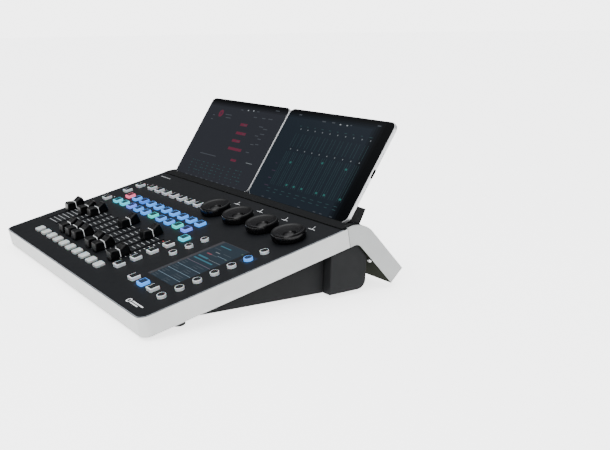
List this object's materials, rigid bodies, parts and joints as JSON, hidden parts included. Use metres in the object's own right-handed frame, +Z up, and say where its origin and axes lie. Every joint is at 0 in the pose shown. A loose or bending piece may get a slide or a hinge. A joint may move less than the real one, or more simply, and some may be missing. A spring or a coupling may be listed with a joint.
{
  "type": "lighting control desk",
  "caption": "Sloping lighting control desk with sliding faders, turning wheels, lit keys, a small screen and docked tablets under a curved rear cover.",
  "frame": {"origin": "on the surface the feet stand on, under the middle of the bounding box", "axes": "+X to the operator's right, +Y away from the operator towards the rear, +Z up"},
  "size_m": [0.4374, 0.3582, 0.198],
  "materials": {
    "silver_paint": "satin silver paint on aluminium",
    "panel_black": "fine matt black coating on aluminium",
    "charcoal_paint": "fine textured charcoal paint on aluminium",
    "key_white": "translucent white key plastic, lit from below",
    "cap_black": "satin black fader cap with a white line",
    "wheel_black": "satin black wheel",
    "screen_glass": "polished screen glass over a lit display",
    "tablet_metal": "fine blasted aluminium",
    "socket_black": "moulded black plastic",
    "socket_metal": "plated socket shell",
    "board_green": "circuit board",
    "steel": "plated steel",
    "foot_rubber": "black rubber foot"
  },
  "bodies": {
    "desk": {"base_housing": "charcoal_paint", "display_glass": "screen_glass", "display_module": "steel", "dmx_socket_a": "socket_metal", "dmx_socket_b": "socket_metal", "fader_board": "board_green", "foot_front_left": "foot_rubber", "foot_front_right": "foot_rubber", "foot_rear_left": "foot_rubber", "foot_rear_right": "foot_rubber", "front_frame": "silver_paint", "hood_screw_left": "steel", "hood_screw_right": "steel", "key_board": "board_green", "main_board": "board_green", "network_socket": "socket_black", "power_inlet": "socket_black", "power_supply": "steel", "rear_cover": "silver_paint", "rear_housing": "charcoal_paint", "tablet_rest": "panel_black", "top_panel": "panel_black", "usb_socket": "socket_metal"},
    "fader_01": {"fader_01": "cap_black"},
    "fader_02": {"fader_02": "cap_black"},
    "fader_03": {"fader_03": "cap_black"},
    "fader_04": {"fader_04": "cap_black"},
    "fader_05": {"fader_05": "cap_black"},
    "fader_06": {"fader_06": "cap_black"},
    "fader_07": {"fader_07": "cap_black"},
    "fader_08": {"fader_08": "cap_black"},
    "fader_09": {"fader_09": "cap_black"},
    "fader_10": {"fader_10": "cap_black"},
    "fader_11": {"fader_11": "cap_black"},
    "encoder_wheel_1": {"encoder_wheel_1": "wheel_black"},
    "encoder_wheel_2": {"encoder_wheel_2": "wheel_black"},
    "encoder_wheel_3": {"encoder_wheel_3": "wheel_black"},
    "encoder_wheel_4": {"encoder_wheel_4": "wheel_black"},
    "flash_keys": {"flash_keys": "key_white"},
    "playback_keys_front": {"playback_keys_front": "key_white"},
    "playback_keys_rear": {"playback_keys_rear": "key_white"},
    "page_keys": {"page_keys": "key_white"},
    "cue_keys": {"cue_keys": "key_white"},
    "screen_keys": {"screen_keys": "key_white"},
    "function_key_1": {"function_key_1": "key_white"},
    "function_key_2": {"function_key_2": "key_white"},
    "function_key_3": {"function_key_3": "key_white"},
    "function_key_4": {"function_key_4": "key_white"},
    "function_key_5": {"function_key_5": "key_white"},
    "menu_key_1": {"menu_key_1": "key_white"},
    "menu_key_2": {"menu_key_2": "key_white"},
    "menu_key_3": {"menu_key_3": "key_white"},
    "master_key_1": {"master_key_1": "key_white"},
    "master_key_2": {"master_key_2": "key_white"},
    "master_key_3": {"master_key_3": "key_white"},
    "power_switch": {"power_switch": "socket_black"},
    "tablet_left": {"tablet_left_case": "tablet_metal", "tablet_left_glass": "screen_glass"},
    "tablet_right": {"tablet_right_case": "tablet_metal", "tablet_right_glass": "screen_glass"}
  },
  "joints": [
    {"name": "fader_01_slide", "type": "slide", "parent": "desk", "child": "fader_01", "axis": [0, 0.9781, 0.2079], "range_m": [-0.0428, 0.0172]},
    {"name": "fader_02_slide", "type": "slide", "parent": "desk", "child": "fader_02", "axis": [0, 0.9781, 0.2079], "range_m": [-0.0474, 0.0126]},
    {"name": "fader_03_slide", "type": "slide", "parent": "desk", "child": "fader_03", "axis": [0, 0.9781, 0.2079], "range_m": [-0.0532, 0.0068]},
    {"name": "fader_04_slide", "type": "slide", "parent": "desk", "child": "fader_04", "axis": [0, 0.9781, 0.2079], "range_m": [0, 0.06]},
    {"name": "fader_05_slide", "type": "slide", "parent": "desk", "child": "fader_05", "axis": [0, 0.9781, 0.2079], "range_m": [0, 0.06]},
    {"name": "fader_06_slide", "type": "slide", "parent": "desk", "child": "fader_06", "axis": [0, 0.9781, 0.2079], "range_m": [0, 0.06]},
    {"name": "fader_07_slide", "type": "slide", "parent": "desk", "child": "fader_07", "axis": [0, 0.9781, 0.2079], "range_m": [-0.0594, 0.0006]},
    {"name": "fader_08_slide", "type": "slide", "parent": "desk", "child": "fader_08", "axis": [0, 0.9781, 0.2079], "range_m": [0, 0.06]},
    {"name": "fader_09_slide", "type": "slide", "parent": "desk", "child": "fader_09", "axis": [0, 0.9781, 0.2079], "range_m": [0, 0.06]},
    {"name": "fader_10_slide", "type": "slide", "parent": "desk", "child": "fader_10", "axis": [0, 0.9781, 0.2079], "range_m": [-0.0583, 0.0017]},
    {"name": "fader_11_slide", "type": "slide", "parent": "desk", "child": "fader_11", "axis": [0, 0.9781, 0.2079], "range_m": [0, 0.06]},
    {"name": "encoder_wheel_1_spin", "type": "hinge", "parent": "desk", "child": "encoder_wheel_1", "pos_m": [0.02229, 0.03468, 0.07202], "axis": [0, -0.2079, 0.9781], "continuous": true},
    {"name": "encoder_wheel_2_spin", "type": "hinge", "parent": "desk", "child": "encoder_wheel_2", "pos_m": [0.07541, 0.03468, 0.07202], "axis": [0, -0.2079, 0.9781], "continuous": true},
    {"name": "encoder_wheel_3_spin", "type": "hinge", "parent": "desk", "child": "encoder_wheel_3", "pos_m": [0.12853, 0.03468, 0.07202], "axis": [0, -0.2079, 0.9781], "continuous": true},
    {"name": "encoder_wheel_4_spin", "type": "hinge", "parent": "desk", "child": "encoder_wheel_4", "pos_m": [0.18165, 0.03468, 0.07202], "axis": [0, -0.2079, 0.9781], "continuous": true},
    {"name": "flash_keys_press", "type": "slide", "parent": "desk", "child": "flash_keys", "axis": [0, 0.2079, -0.9781], "range_m": [0, 0.0015], "stiffness_N_per_m": 800, "springref_m": -0.0006},
    {"name": "playback_keys_front_press", "type": "slide", "parent": "desk", "child": "playback_keys_front", "axis": [0, 0.2079, -0.9781], "range_m": [0, 0.0015], "stiffness_N_per_m": 800, "springref_m": -0.0006},
    {"name": "playback_keys_rear_press", "type": "slide", "parent": "desk", "child": "playback_keys_rear", "axis": [0, 0.2079, -0.9781], "range_m": [0, 0.0015], "stiffness_N_per_m": 800, "springref_m": -0.0006},
    {"name": "page_keys_press", "type": "slide", "parent": "desk", "child": "page_keys", "axis": [0, 0.2079, -0.9781], "range_m": [0, 0.0015], "stiffness_N_per_m": 800, "springref_m": -0.0006},
    {"name": "cue_keys_press", "type": "slide", "parent": "desk", "child": "cue_keys", "axis": [0, 0.2079, -0.9781], "range_m": [0, 0.0015], "stiffness_N_per_m": 800, "springref_m": -0.0006},
    {"name": "screen_keys_press", "type": "slide", "parent": "desk", "child": "screen_keys", "axis": [0, 0.2079, -0.9781], "range_m": [0, 0.0015], "stiffness_N_per_m": 800, "springref_m": -0.0006},
    {"name": "function_key_1_press", "type": "slide", "parent": "desk", "child": "function_key_1", "axis": [0, 0.2079, -0.9781], "range_m": [0, 0.0015], "stiffness_N_per_m": 800, "springref_m": -0.0006},
    {"name": "function_key_2_press", "type": "slide", "parent": "desk", "child": "function_key_2", "axis": [0, 0.2079, -0.9781], "range_m": [0, 0.0015], "stiffness_N_per_m": 800, "springref_m": -0.0006},
    {"name": "function_key_3_press", "type": "slide", "parent": "desk", "child": "function_key_3", "axis": [0, 0.2079, -0.9781], "range_m": [0, 0.0015], "stiffness_N_per_m": 800, "springref_m": -0.0006},
    {"name": "function_key_4_press", "type": "slide", "parent": "desk", "child": "function_key_4", "axis": [0, 0.2079, -0.9781], "range_m": [0, 0.0015], "stiffness_N_per_m": 800, "springref_m": -0.0006},
    {"name": "function_key_5_press", "type": "slide", "parent": "desk", "child": "function_key_5", "axis": [0, 0.2079, -0.9781], "range_m": [0, 0.0015], "stiffness_N_per_m": 800, "springref_m": -0.0006},
    {"name": "menu_key_1_press", "type": "slide", "parent": "desk", "child": "menu_key_1", "axis": [0, 0.2079, -0.9781], "range_m": [0, 0.0015], "stiffness_N_per_m": 800, "springref_m": -0.0006},
    {"name": "menu_key_2_press", "type": "slide", "parent": "desk", "child": "menu_key_2", "axis": [0, 0.2079, -0.9781], "range_m": [0, 0.0015], "stiffness_N_per_m": 800, "springref_m": -0.0006},
    {"name": "menu_key_3_press", "type": "slide", "parent": "desk", "child": "menu_key_3", "axis": [0, 0.2079, -0.9781], "range_m": [0, 0.0015], "stiffness_N_per_m": 800, "springref_m": -0.0006},
    {"name": "master_key_1_press", "type": "slide", "parent": "desk", "child": "master_key_1", "axis": [0, 0.2079, -0.9781], "range_m": [0, 0.0015], "stiffness_N_per_m": 800, "springref_m": -0.0006},
    {"name": "master_key_2_press", "type": "slide", "parent": "desk", "child": "master_key_2", "axis": [0, 0.2079, -0.9781], "range_m": [0, 0.0015], "stiffness_N_per_m": 800, "springref_m": -0.0006},
    {"name": "master_key_3_press", "type": "slide", "parent": "desk", "child": "master_key_3", "axis": [0, 0.2079, -0.9781], "range_m": [0, 0.0015], "stiffness_N_per_m": 800, "springref_m": -0.0006},
    {"name": "power_switch_rock", "type": "hinge", "parent": "desk", "child": "power_switch", "pos_m": [-0.112, 0.12182, 0.0284], "axis": [1, 0, 0], "range_deg": [0, 12]},
    {"name": "tablet_left_lift", "type": "slide", "parent": "desk", "child": "tablet_left", "axis": [0, 0.549, 0.8358], "range_m": [0, 0.06]},
    {"name": "tablet_right_lift", "type": "slide", "parent": "desk", "child": "tablet_right", "axis": [0, 0.549, 0.8358], "range_m": [0, 0.06]}
  ]
}
